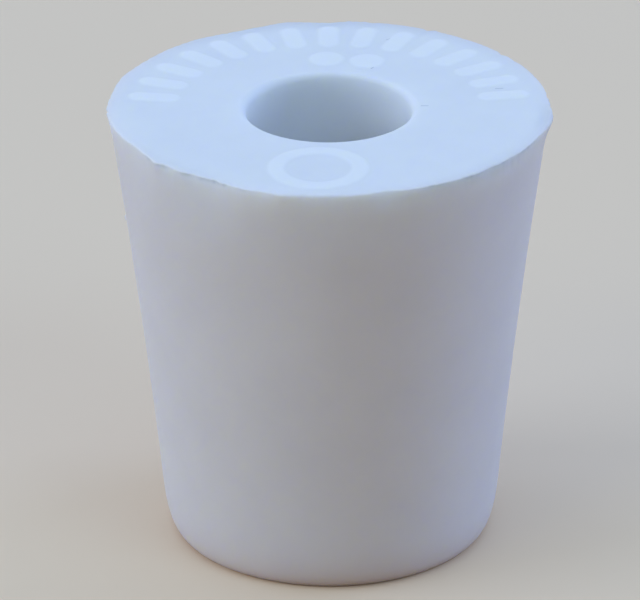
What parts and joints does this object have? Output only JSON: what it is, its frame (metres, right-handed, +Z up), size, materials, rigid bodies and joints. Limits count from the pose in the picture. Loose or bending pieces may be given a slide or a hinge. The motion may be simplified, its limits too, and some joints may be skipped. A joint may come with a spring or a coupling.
{
  "type": "rubber stopper",
  "caption": "White rubber laboratory stopper: waisted taper with a rounded narrow end, a straight bore along its axis and a torn moulding flash around the wide end.",
  "frame": {"origin": "middle of the narrow end's flat face, on the bore's axis, where the stopper stands", "axes": "+Z up the bore to the wide end; -Y towards the side that the picture shows, which carries the plain raised ring"},
  "size_m": [0.0242, 0.0239, 0.0251],
  "materials": {
    "white_rubber": "satin moulded rubber, white with a faint cool cast"
  },
  "bodies": {
    "root": {"stopper": "white_rubber"}
  },
  "joints": []
}
